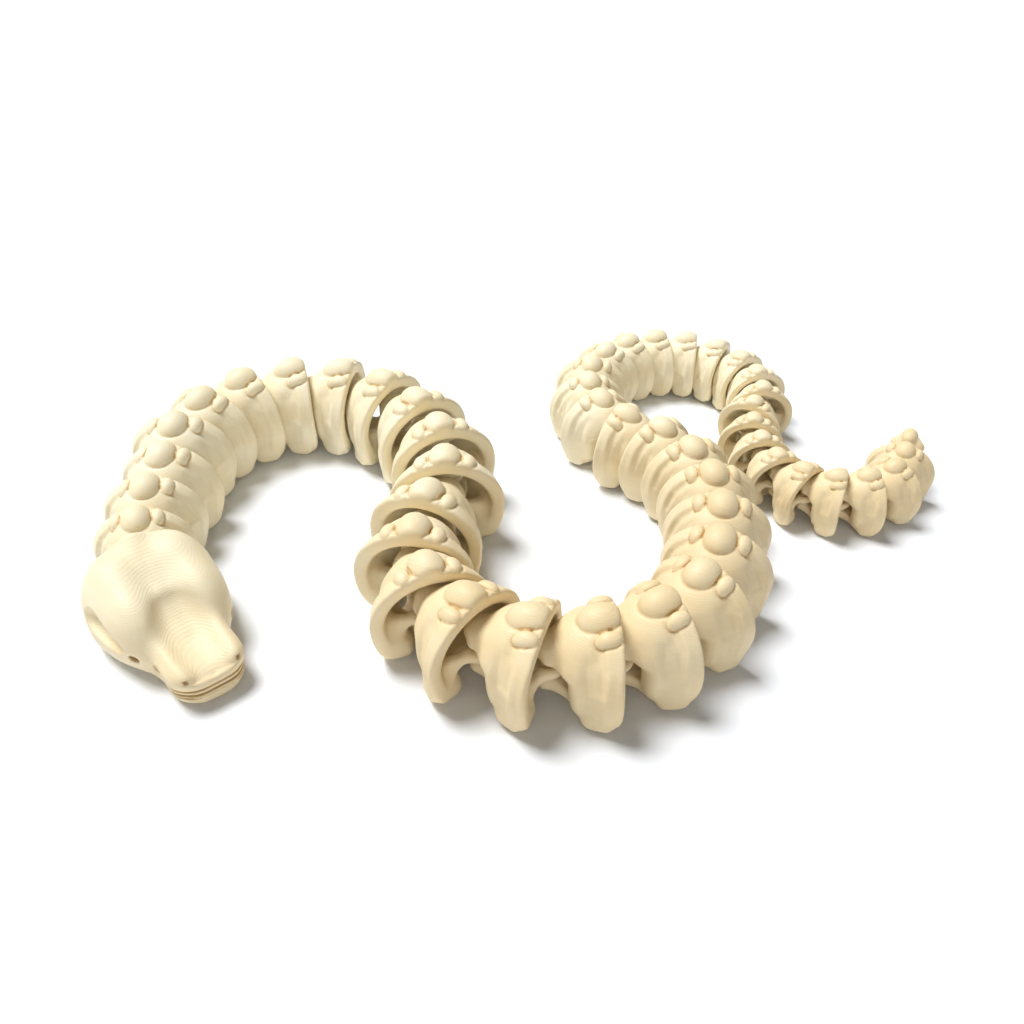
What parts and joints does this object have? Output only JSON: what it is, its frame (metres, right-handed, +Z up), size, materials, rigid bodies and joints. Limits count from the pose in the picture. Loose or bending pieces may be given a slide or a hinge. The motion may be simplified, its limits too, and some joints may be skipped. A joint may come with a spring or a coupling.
{
  "type": "jointed snake skeleton toy",
  "caption": "Jointed snake skeleton toy: a skull, a row of horseshoe vertebra links that swing on upright pins, and a tail tip, lying in an S with a loop.",
  "frame": {"origin": "on the floor, under the middle of the toy's box as it lies", "axes": "+Z up, +X from the skull's side to the tail's side, -Y towards the viewer who faces the snout"},
  "size_m": [0.1626, 0.1178, 0.021],
  "materials": {
    "bone_plastic": "warm ivory printed plastic, matt, with fine layer lines"
  },
  "bodies": {
    "skull": {"skull": "bone_plastic"},
    "link_01": {"link_01": "bone_plastic"},
    "link_02": {"link_02": "bone_plastic"},
    "link_03": {"link_03": "bone_plastic"},
    "link_04": {"link_04": "bone_plastic"},
    "link_05": {"link_05": "bone_plastic"},
    "link_06": {"link_06": "bone_plastic"},
    "link_07": {"link_07": "bone_plastic"},
    "link_08": {"link_08": "bone_plastic"},
    "link_09": {"link_09": "bone_plastic"},
    "link_10": {"link_10": "bone_plastic"},
    "link_11": {"link_11": "bone_plastic"},
    "link_12": {"link_12": "bone_plastic"},
    "link_13": {"link_13": "bone_plastic"},
    "link_14": {"link_14": "bone_plastic"},
    "link_15": {"link_15": "bone_plastic"},
    "link_16": {"link_16": "bone_plastic"},
    "link_17": {"link_17": "bone_plastic"},
    "link_18": {"link_18": "bone_plastic"},
    "link_19": {"link_19": "bone_plastic"},
    "link_20": {"link_20": "bone_plastic"},
    "link_21": {"link_21": "bone_plastic"},
    "link_22": {"link_22": "bone_plastic"},
    "link_23": {"link_23": "bone_plastic"},
    "link_24": {"link_24": "bone_plastic"},
    "link_25": {"link_25": "bone_plastic"},
    "link_26": {"link_26": "bone_plastic"},
    "link_27": {"link_27": "bone_plastic"},
    "link_28": {"link_28": "bone_plastic"},
    "link_29": {"link_29": "bone_plastic"},
    "link_30": {"link_30": "bone_plastic"},
    "link_31": {"link_31": "bone_plastic"},
    "link_32": {"link_32": "bone_plastic"},
    "link_33": {"link_33": "bone_plastic"},
    "link_34": {"link_34": "bone_plastic"},
    "link_35": {"link_35": "bone_plastic"},
    "link_36": {"link_36": "bone_plastic"},
    "link_37": {"link_37": "bone_plastic"},
    "link_38": {"link_38": "bone_plastic"},
    "link_39": {"link_39": "bone_plastic"},
    "link_40": {"link_40": "bone_plastic"},
    "link_41": {"link_41": "bone_plastic"},
    "link_42": {"link_42": "bone_plastic"},
    "link_43": {"link_43": "bone_plastic"},
    "link_44": {"link_44": "bone_plastic"},
    "link_45": {"link_45": "bone_plastic"},
    "link_46": {"link_46": "bone_plastic"},
    "tail_tip": {"tail_tip": "bone_plastic"}
  },
  "joints": [
    {"name": "link_01_pin", "type": "hinge", "parent": "skull", "child": "link_01", "pos_m": [-0.06881, -0.02799, 0.0085], "axis": [0, 0, 1], "range_deg": [-0.5, 55]},
    {"name": "link_02_pin", "type": "hinge", "parent": "link_01", "child": "link_02", "pos_m": [-0.07064, -0.01984, 0.0085], "axis": [0, 0, -1], "range_deg": [-33.9, 17.1]},
    {"name": "link_03_pin", "type": "hinge", "parent": "link_02", "child": "link_03", "pos_m": [-0.0713, -0.0111, 0.0085], "axis": [0, 0, 1], "range_deg": [-17.1, 33.9]},
    {"name": "link_04_pin", "type": "hinge", "parent": "link_03", "child": "link_04", "pos_m": [-0.07064, -0.00194, 0.0085], "axis": [0, 0, -1], "range_deg": [-19.5, 24]},
    {"name": "link_05_pin", "type": "hinge", "parent": "link_04", "child": "link_05", "pos_m": [-0.07099, 0.00836, 0.0085], "axis": [0, 0, 1], "range_deg": [-4, 51.5]},
    {"name": "link_06_pin", "type": "hinge", "parent": "link_05", "child": "link_06", "pos_m": [-0.06714, 0.01792, 0.0085], "axis": [0, 0, -1], "range_deg": [-51.5, 4]},
    {"name": "link_07_pin", "type": "hinge", "parent": "link_06", "child": "link_07", "pos_m": [-0.05941, 0.02546, 0.0085], "axis": [0, 0, 1], "range_deg": [-2, 53.5]},
    {"name": "link_08_pin", "type": "hinge", "parent": "link_07", "child": "link_08", "pos_m": [-0.04917, 0.02889, 0.0085], "axis": [0, 0, -1], "range_deg": [-53.5, 2]},
    {"name": "link_09_pin", "type": "hinge", "parent": "link_08", "child": "link_09", "pos_m": [-0.03846, 0.02751, 0.0085], "axis": [0, 0, 1], "range_deg": [-2, 53.5]},
    {"name": "link_10_pin", "type": "hinge", "parent": "link_09", "child": "link_10", "pos_m": [-0.02902, 0.02136, 0.0085], "axis": [0, 0, -1], "range_deg": [-45, 10.5]},
    {"name": "link_11_pin", "type": "hinge", "parent": "link_10", "child": "link_11", "pos_m": [-0.02173, 0.01255, 0.0085], "axis": [0, 0, 1], "range_deg": [-10.5, 45]},
    {"name": "link_12_pin", "type": "hinge", "parent": "link_11", "child": "link_12", "pos_m": [-0.01725, 0.00163, 0.0085], "axis": [0, 0, -1], "range_deg": [-46.5, 9]},
    {"name": "link_13_pin", "type": "hinge", "parent": "link_12", "child": "link_13", "pos_m": [-0.01656, -0.00938, 0.0085], "axis": [0, 0, 1], "range_deg": [-5.5, 46]},
    {"name": "link_14_pin", "type": "hinge", "parent": "link_13", "child": "link_14", "pos_m": [-0.01982, -0.01901, 0.0085], "axis": [0, 0, -1], "range_deg": [-16, 40]},
    {"name": "link_15_pin", "type": "hinge", "parent": "link_14", "child": "link_15", "pos_m": [-0.021, -0.02901, 0.0085], "axis": [0, 0, 1], "range_deg": [-55, 0.5]},
    {"name": "link_16_pin", "type": "hinge", "parent": "link_15", "child": "link_16", "pos_m": [-0.01748, -0.03833, 0.0085], "axis": [0, 0, -1], "range_deg": [-0.5, 55]},
    {"name": "link_17_pin", "type": "hinge", "parent": "link_16", "child": "link_17", "pos_m": [-0.00923, -0.04573, 0.0085], "axis": [0, 0, 1], "range_deg": [-51.5, 4]},
    {"name": "link_18_pin", "type": "hinge", "parent": "link_17", "child": "link_18", "pos_m": [0.00118, -0.04913, 0.0085], "axis": [0, 0, -1], "range_deg": [-4, 51.5]},
    {"name": "link_19_pin", "type": "hinge", "parent": "link_18", "child": "link_19", "pos_m": [0.01166, -0.04809, 0.0085], "axis": [0, 0, 1], "range_deg": [-48.5, 7]},
    {"name": "link_20_pin", "type": "hinge", "parent": "link_19", "child": "link_20", "pos_m": [0.02098, -0.04342, 0.0085], "axis": [0, 0, -1], "range_deg": [-7, 48.5]},
    {"name": "link_21_pin", "type": "hinge", "parent": "link_20", "child": "link_21", "pos_m": [0.02794, -0.03582, 0.0085], "axis": [0, 0, 1], "range_deg": [-48.5, 7]},
    {"name": "link_22_pin", "type": "hinge", "parent": "link_21", "child": "link_22", "pos_m": [0.03176, -0.02617, 0.0085], "axis": [0, 0, -1], "range_deg": [-16, 40]},
    {"name": "link_23_pin", "type": "hinge", "parent": "link_22", "child": "link_23", "pos_m": [0.03347, -0.01606, 0.0085], "axis": [0, 0, 1], "range_deg": [-40, 16]},
    {"name": "link_24_pin", "type": "hinge", "parent": "link_23", "child": "link_24", "pos_m": [0.03307, -0.00643, 0.0085], "axis": [0, 0, -1], "range_deg": [-11, 44.5]},
    {"name": "link_25_pin", "type": "hinge", "parent": "link_24", "child": "link_25", "pos_m": [0.02999, 0.00245, 0.0085], "axis": [0, 0, 1], "range_deg": [-22, 11]},
    {"name": "link_26_pin", "type": "hinge", "parent": "link_25", "child": "link_26", "pos_m": [0.02474, 0.00973, 0.0085], "axis": [0, 0, -1], "range_deg": [-10, 12]},
    {"name": "link_27_pin", "type": "hinge", "parent": "link_26", "child": "link_27", "pos_m": [0.0178, 0.01489, 0.0085], "axis": [0, 0, 1], "range_deg": [-3.5, 52]},
    {"name": "link_28_pin", "type": "hinge", "parent": "link_27", "child": "link_28", "pos_m": [0.01369, 0.02224, 0.0085], "axis": [0, 0, -1], "range_deg": [-48, 1]},
    {"name": "link_29_pin", "type": "hinge", "parent": "link_28", "child": "link_29", "pos_m": [0.01243, 0.03032, 0.0085], "axis": [0, 0, 1], "range_deg": [-1, 48]},
    {"name": "link_30_pin", "type": "hinge", "parent": "link_29", "child": "link_30", "pos_m": [0.01401, 0.03819, 0.0085], "axis": [0, 0, -1], "range_deg": [-48, 1]},
    {"name": "link_31_pin", "type": "hinge", "parent": "link_30", "child": "link_31", "pos_m": [0.01807, 0.04476, 0.0085], "axis": [0, 0, 1], "range_deg": [-2, 49]},
    {"name": "link_32_pin", "type": "hinge", "parent": "link_31", "child": "link_32", "pos_m": [0.02413, 0.04931, 0.0085], "axis": [0, 0, -1], "range_deg": [-49, 2]},
    {"name": "link_33_pin", "type": "hinge", "parent": "link_32", "child": "link_33", "pos_m": [0.03128, 0.05129, 0.0085], "axis": [0, 0, 1], "range_deg": [-1, 49]},
    {"name": "link_34_pin", "type": "hinge", "parent": "link_33", "child": "link_34", "pos_m": [0.03852, 0.05054, 0.0085], "axis": [0, 0, -1], "range_deg": [-50, 1]},
    {"name": "link_35_pin", "type": "hinge", "parent": "link_34", "child": "link_35", "pos_m": [0.04481, 0.04718, 0.0085], "axis": [0, 0, 1], "range_deg": [-1, 50]},
    {"name": "link_36_pin", "type": "hinge", "parent": "link_35", "child": "link_36", "pos_m": [0.04929, 0.04179, 0.0085], "axis": [0, 0, -1], "range_deg": [-50, 5.5]},
    {"name": "link_37_pin", "type": "hinge", "parent": "link_36", "child": "link_37", "pos_m": [0.05136, 0.03521, 0.0085], "axis": [0, 0, 1], "range_deg": [-5.5, 50]},
    {"name": "link_38_pin", "type": "hinge", "parent": "link_37", "child": "link_38", "pos_m": [0.0508, 0.02839, 0.0085], "axis": [0, 0, -1], "range_deg": [-55.5, 0.5]},
    {"name": "link_39_pin", "type": "hinge", "parent": "link_38", "child": "link_39", "pos_m": [0.04718, 0.02263, 0.0085], "axis": [0, 0, 1], "range_deg": [-6, 3]},
    {"name": "link_40_pin", "type": "hinge", "parent": "link_39", "child": "link_40", "pos_m": [0.04633, 0.01593, 0.0085], "axis": [0, 0, -1], "range_deg": [-14.5, 0]},
    {"name": "link_41_pin", "type": "hinge", "parent": "link_40", "child": "link_41", "pos_m": [0.04701, 0.00934, 0.0085], "axis": [0, 0, 1], "range_deg": [-18, 14.5]},
    {"name": "link_42_pin", "type": "hinge", "parent": "link_41", "child": "link_42", "pos_m": [0.04911, 0.00326, 0.0085], "axis": [0, 0, -1], "range_deg": [-2, 54]},
    {"name": "link_43_pin", "type": "hinge", "parent": "link_42", "child": "link_43", "pos_m": [0.05366, -0.00129, 0.0085], "axis": [0, 0, 1], "range_deg": [-54, 2]},
    {"name": "link_44_pin", "type": "hinge", "parent": "link_43", "child": "link_44", "pos_m": [0.05974, -0.00339, 0.0085], "axis": [0, 0, -1], "range_deg": [-2, 54]},
    {"name": "link_45_pin", "type": "hinge", "parent": "link_44", "child": "link_45", "pos_m": [0.06652, -0.00256, 0.0085], "axis": [0, 0, 1], "range_deg": [-55.5, 0.5]},
    {"name": "link_46_pin", "type": "hinge", "parent": "link_45", "child": "link_46", "pos_m": [0.07214, 0.00131, 0.0085], "axis": [0, 0, -1], "range_deg": [-0.5, 55.5]},
    {"name": "tail_tip_pin", "type": "hinge", "parent": "link_46", "child": "tail_tip", "pos_m": [0.0755, 0.00762, 0.0085], "axis": [0, 0, 1], "range_deg": [-30, 26]}
  ]
}
